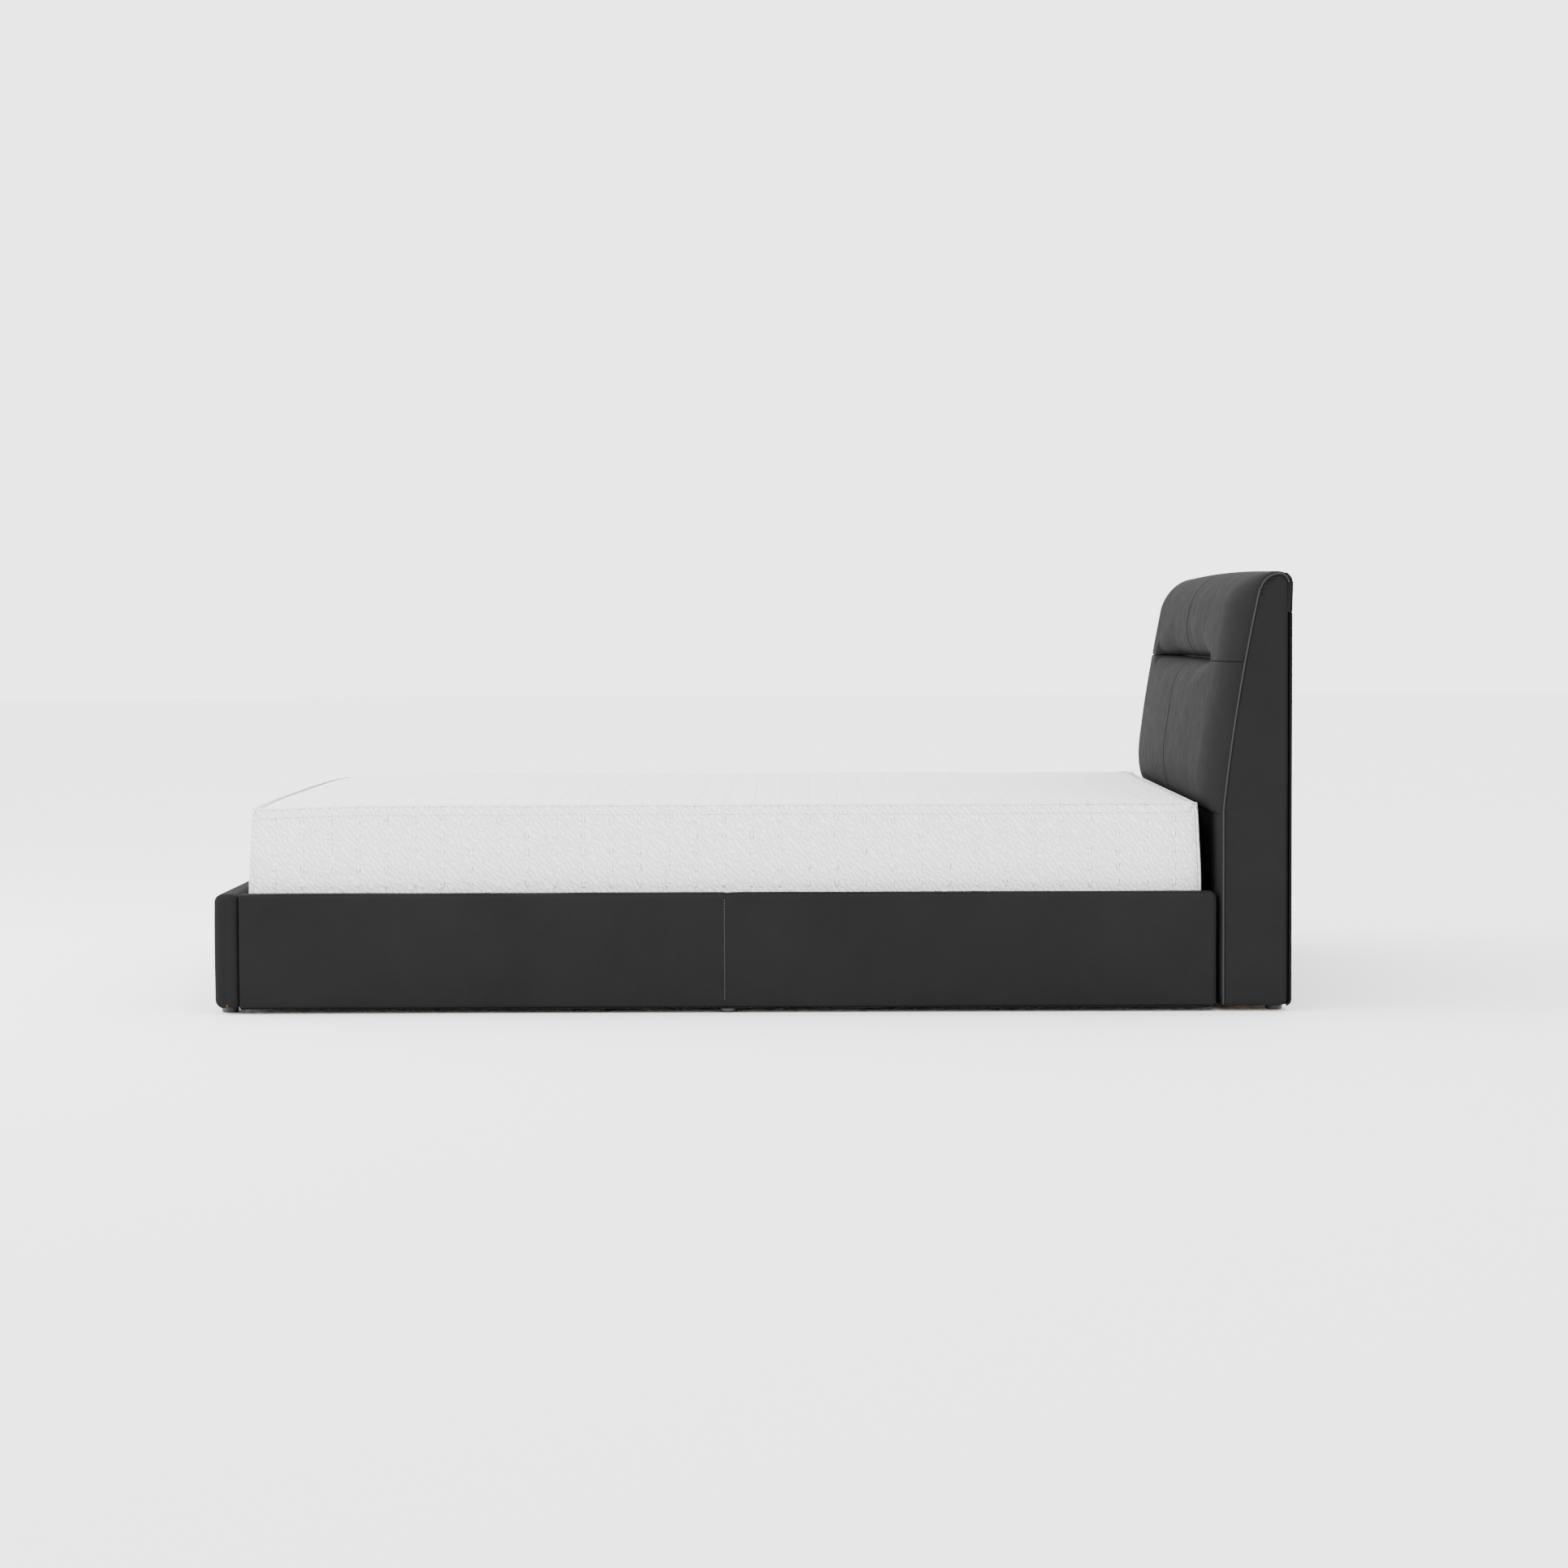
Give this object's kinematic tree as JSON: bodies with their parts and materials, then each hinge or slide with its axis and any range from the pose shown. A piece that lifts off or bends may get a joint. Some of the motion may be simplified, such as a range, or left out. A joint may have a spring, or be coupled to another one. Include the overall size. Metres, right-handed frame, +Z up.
{
  "type": "upholstered platform bed",
  "caption": "Low leather-upholstered platform bed with a leaning cushioned headboard, slatted base and lift-off foam mattress.",
  "frame": {"origin": "centre of the bed's outline on the floor", "axes": "+X from footboard to headboard, +Y to the sleeper's left when lying on the back, +Z up"},
  "size_m": [2.286, 1.64, 0.9375],
  "materials": {
    "charcoal_leather": "satin",
    "black_backing": "matte",
    "white_knit": "matte",
    "mattress_foam": "matte",
    "plywood": "satin",
    "pine": "satin",
    "black_steel": "satin",
    "zinc_steel": "satin",
    "black_nylon": "matte"
  },
  "bodies": {
    "bed_frame": {"beam_hanger_foot": "black_steel", "beam_hanger_head": "black_steel", "centre_beam": "pine", "centre_leg_1": "pine", "centre_leg_2": "pine", "corner_bolt_foot_left": "zinc_steel", "corner_bolt_foot_right": "zinc_steel", "corner_bolt_head_left": "zinc_steel", "corner_bolt_head_right": "zinc_steel", "corner_bracket_foot_left": "black_steel", "corner_bracket_foot_right": "black_steel", "corner_bracket_head_left": "black_steel", "corner_bracket_head_right": "black_steel", "footboard_board": "plywood", "footboard_cover": "charcoal_leather", "glide_foot_left": "black_nylon", "glide_foot_right": "black_nylon", "glide_head_left": "black_nylon", "glide_head_right": "black_nylon", "glide_rail_left": "black_nylon", "glide_rail_right": "black_nylon", "headboard_apron": "charcoal_leather", "headboard_back_panel": "black_backing", "headboard_bottom_rail": "pine", "headboard_front_board": "plywood", "headboard_gusset_left": "plywood", "headboard_gusset_right": "plywood", "headboard_lower_cushion": "charcoal_leather", "headboard_middle_rail": "pine", "headboard_side_cover_left": "charcoal_leather", "headboard_side_cover_right": "charcoal_leather", "headboard_top_rail": "pine", "headboard_upper_cushion": "charcoal_leather", "headboard_upright_left": "pine", "headboard_upright_right": "pine", "headboard_welt_left": "charcoal_leather", "headboard_welt_right": "charcoal_leather", "side_rail_board_left": "plywood", "side_rail_board_right": "plywood", "side_rail_cover_left": "charcoal_leather", "side_rail_cover_right": "charcoal_leather", "slat_01": "pine", "slat_02": "pine", "slat_03": "pine", "slat_04": "pine", "slat_05": "pine", "slat_06": "pine", "slat_07": "pine", "slat_08": "pine", "slat_09": "pine", "slat_10": "pine", "slat_11": "pine", "slat_12": "pine", "slat_ledger_left": "pine", "slat_ledger_right": "pine"},
    "mattress": {"mattress_core": "mattress_foam", "mattress_cover": "white_knit", "mattress_base_cloth": "black_backing"},
    "levelling_foot_1": {"levelling_foot_1": "black_nylon"},
    "levelling_foot_2": {"levelling_foot_2": "black_nylon"}
  },
  "joints": [
    {"name": "mattress_lift", "type": "slide", "parent": "bed_frame", "child": "mattress", "axis": [-0.0499, 0, 0.9988], "range_m": [0, 0.3]},
    {"name": "foot_turn_1", "type": "hinge", "parent": "bed_frame", "child": "levelling_foot_1", "pos_m": [-0.36, 0, 0], "axis": [0, 0, 1], "continuous": true},
    {"name": "foot_turn_2", "type": "hinge", "parent": "bed_frame", "child": "levelling_foot_2", "pos_m": [0.36, 0, 0], "axis": [0, 0, 1], "continuous": true}
  ]
}
